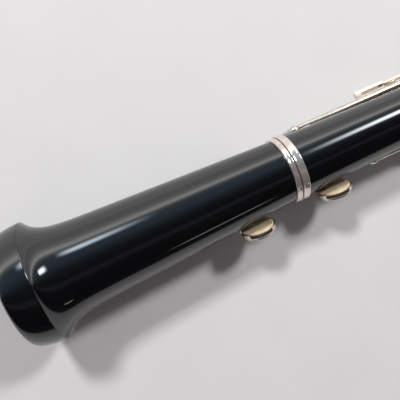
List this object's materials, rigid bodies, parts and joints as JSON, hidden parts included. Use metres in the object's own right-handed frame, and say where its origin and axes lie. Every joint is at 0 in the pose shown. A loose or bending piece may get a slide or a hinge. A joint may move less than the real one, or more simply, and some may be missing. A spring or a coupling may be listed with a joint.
{
  "type": "oboe",
  "caption": "Conservatoire oboe in black wood with silver-plated keys, padded cups, flared bell and a double ring; lies on its bell rim and front keywork.",
  "frame": {"origin": "centre of the reed end's face, on the bore axis, at the mouth of the reed well", "axes": "+X out of the reed well along the bore, so the bell mouth is at X = -0.5905; +Z towards the thumb side, which is up as the oboe lies on its front; +Y towards the player's left hand levers"},
  "size_m": [0.5905, 0.0516, 0.0516],
  "materials": {
    "black_wood": "polished black grenadilla, glossy",
    "silver_plate": "polished silver plate on nickel silver",
    "ring_silver": "polished silver plate, slightly worn",
    "steel": "bright drawn steel",
    "blued_steel": "blued spring steel",
    "pad_skin": "cream bladder skin over felt",
    "cork": "sanded natural cork"
  },
  "bodies": {
    "oboe_body": {"bell": "black_wood", "lower_joint": "black_wood", "upper_joint": "black_wood", "bell_ring": "ring_silver", "foot_ring": "ring_silver", "socket_ring": "ring_silver", "shoulder_ring": "ring_silver", "crown_ring": "ring_silver", "bell_tenon_cork": "cork", "joint_tenon_cork": "cork", "bell_posts": "silver_plate", "lower_posts": "silver_plate", "upper_posts": "silver_plate", "bell_hinge_rod": "steel", "lower_hinge_rods": "steel", "upper_hinge_rods": "steel", "lower_needle_springs": "blued_steel", "upper_needle_springs": "blued_steel", "thumb_rest": "silver_plate", "thumb_rest_screws": "steel"},
    "low_b_flat_key": {"low_b_flat_key": "silver_plate", "low_b_flat_pad": "pad_skin"},
    "low_b_key": {"low_b_key": "silver_plate", "low_b_pad": "pad_skin"},
    "low_b_flat_lever": {"low_b_flat_lever": "silver_plate"},
    "low_b_lever": {"low_b_lever": "silver_plate"},
    "low_c_key": {"low_c_key": "silver_plate", "low_c_pad": "pad_skin"},
    "c_sharp_key": {"c_sharp_key": "silver_plate", "c_sharp_pad": "pad_skin"},
    "e_flat_key": {"e_flat_key": "silver_plate", "e_flat_pad": "pad_skin"},
    "d_key": {"d_key": "silver_plate", "d_pad": "pad_skin"},
    "e_key": {"e_key": "silver_plate", "e_pad": "pad_skin"},
    "f_sharp_key": {"f_sharp_key": "silver_plate", "f_sharp_pad": "pad_skin"},
    "f_key": {"f_key": "silver_plate", "f_pad": "pad_skin"},
    "g_sharp_key": {"g_sharp_key": "silver_plate", "g_sharp_pad": "pad_skin"},
    "g_key": {"g_key": "silver_plate", "g_pad": "pad_skin"},
    "a_key": {"a_key": "silver_plate", "a_pad": "pad_skin"},
    "half_hole_key": {"half_hole_key": "silver_plate", "half_hole_pad": "pad_skin"},
    "d_trill_key": {"d_trill_key": "silver_plate", "d_trill_pad": "pad_skin"},
    "left_trill_key": {"left_trill_key": "silver_plate", "left_trill_pad": "pad_skin"},
    "side_octave_key": {"side_octave_key": "silver_plate", "side_octave_pad": "pad_skin"},
    "thumb_octave_key": {"thumb_octave_key": "silver_plate", "thumb_octave_pad": "pad_skin"}
  },
  "joints": [
    {"name": "low_b_flat_key_hinge", "type": "hinge", "parent": "oboe_body", "child": "low_b_flat_key", "pos_m": [-0.4995, -0.00893, -0.0168], "axis": [1, 0, 0], "range_deg": [-11, 0], "stiffness_Nm_per_rad": 0.04, "springref_deg": 8.59},
    {"name": "low_b_key_hinge", "type": "hinge", "parent": "oboe_body", "child": "low_b_key", "pos_m": [-0.4579, -0.00815, -0.01532], "axis": [1, 0, 0], "range_deg": [-11, 0], "stiffness_Nm_per_rad": 0.04, "springref_deg": 8.59},
    {"name": "low_b_flat_lever_hinge", "type": "hinge", "parent": "oboe_body", "child": "low_b_flat_lever", "pos_m": [-0.4515, 0.01481, -0.00821], "axis": [1, 0, 0], "range_deg": [0, 9.4], "stiffness_Nm_per_rad": 0.04, "springref_deg": -8.59},
    {"name": "low_b_lever_hinge", "type": "hinge", "parent": "oboe_body", "child": "low_b_lever", "pos_m": [-0.4395, 0.01114, -0.01238], "axis": [1, 0, 0], "range_deg": [0, 10], "stiffness_Nm_per_rad": 0.04, "springref_deg": -8.59},
    {"name": "low_c_key_hinge", "type": "hinge", "parent": "oboe_body", "child": "low_c_key", "pos_m": [-0.421, -0.01283, -0.01077], "axis": [1, 0, 0], "range_deg": [0, 9], "stiffness_Nm_per_rad": 0.04, "springref_deg": -8.59},
    {"name": "c_sharp_key_hinge", "type": "hinge", "parent": "oboe_body", "child": "c_sharp_key", "pos_m": [-0.3889, -0.01283, -0.01077], "axis": [1, 0, 0], "range_deg": [-9, 0], "stiffness_Nm_per_rad": 0.04, "springref_deg": 8.59},
    {"name": "e_flat_key_hinge", "type": "hinge", "parent": "oboe_body", "child": "e_flat_key", "pos_m": [-0.354, -0.01493, -0.00665], "axis": [1, 0, 0], "range_deg": [0, 9], "stiffness_Nm_per_rad": 0.04, "springref_deg": -8.59},
    {"name": "d_key_hinge", "type": "hinge", "parent": "oboe_body", "child": "d_key", "pos_m": [-0.329, -0.01041, -0.01241], "axis": [1, 0, 0], "range_deg": [0, 8], "stiffness_Nm_per_rad": 0.04, "springref_deg": -8.59},
    {"name": "e_key_hinge", "type": "hinge", "parent": "oboe_body", "child": "e_key", "pos_m": [-0.3055, -0.01041, -0.01241], "axis": [1, 0, 0], "range_deg": [0, 8], "stiffness_Nm_per_rad": 0.04, "springref_deg": -8.59},
    {"name": "f_sharp_key_hinge", "type": "hinge", "parent": "oboe_body", "child": "f_sharp_key", "pos_m": [-0.2809, -0.01041, -0.01241], "axis": [1, 0, 0], "range_deg": [0, 8], "stiffness_Nm_per_rad": 0.04, "springref_deg": -8.59},
    {"name": "f_key_hinge", "type": "hinge", "parent": "oboe_body", "child": "f_key", "pos_m": [-0.3073, -0.01502, -0.00607], "axis": [1, 0, 0], "range_deg": [0, 9], "stiffness_Nm_per_rad": 0.04, "springref_deg": -8.59},
    {"name": "g_sharp_key_hinge", "type": "hinge", "parent": "oboe_body", "child": "g_sharp_key", "pos_m": [-0.2171, 0.01194, -0.00933], "axis": [1, 0, 0], "range_deg": [0, 9], "stiffness_Nm_per_rad": 0.04, "springref_deg": -8.59},
    {"name": "g_key_hinge", "type": "hinge", "parent": "oboe_body", "child": "g_key", "pos_m": [-0.1975, -0.01032, -0.01146], "axis": [1, 0, 0], "range_deg": [0, 4.8], "stiffness_Nm_per_rad": 0.04, "springref_deg": -8.59},
    {"name": "a_key_hinge", "type": "hinge", "parent": "oboe_body", "child": "a_key", "pos_m": [-0.1753, -0.01032, -0.01146], "axis": [1, 0, 0], "range_deg": [0, 4.8], "stiffness_Nm_per_rad": 0.04, "springref_deg": -8.59},
    {"name": "half_hole_key_hinge", "type": "hinge", "parent": "oboe_body", "child": "half_hole_key", "pos_m": [-0.1465, -0.01032, -0.01146], "axis": [1, 0, 0], "range_deg": [0, 4.8], "stiffness_Nm_per_rad": 0.04, "springref_deg": -8.59},
    {"name": "d_trill_key_hinge", "type": "hinge", "parent": "oboe_body", "child": "d_trill_key", "pos_m": [-0.2179, -0.01419, -0.00407], "axis": [1, 0, 0], "range_deg": [-9, 0], "stiffness_Nm_per_rad": 0.04, "springref_deg": 8.59},
    {"name": "left_trill_key_hinge", "type": "hinge", "parent": "oboe_body", "child": "left_trill_key", "pos_m": [-0.1665, 0.01141, -0.00829], "axis": [1, 0, 0], "range_deg": [0, 9], "stiffness_Nm_per_rad": 0.04, "springref_deg": -8.59},
    {"name": "side_octave_key_hinge", "type": "hinge", "parent": "oboe_body", "child": "side_octave_key", "pos_m": [-0.1245, 0.01301, 0.00324], "axis": [1, 0, 0], "range_deg": [0, 8], "stiffness_Nm_per_rad": 0.04, "springref_deg": -8.59},
    {"name": "thumb_octave_key_hinge", "type": "hinge", "parent": "oboe_body", "child": "thumb_octave_key", "pos_m": [-0.1005, 0, 0.01321], "axis": [0, -1, 0], "range_deg": [0, 5], "stiffness_Nm_per_rad": 0.04, "springref_deg": -8.59}
  ],
  "couplings": [
    {"joint": "low_b_flat_key_hinge", "follows": "low_b_flat_lever_hinge", "ratio": -1.17},
    {"joint": "low_b_key_hinge", "follows": "low_b_lever_hinge", "ratio": -1.1}
  ]
}
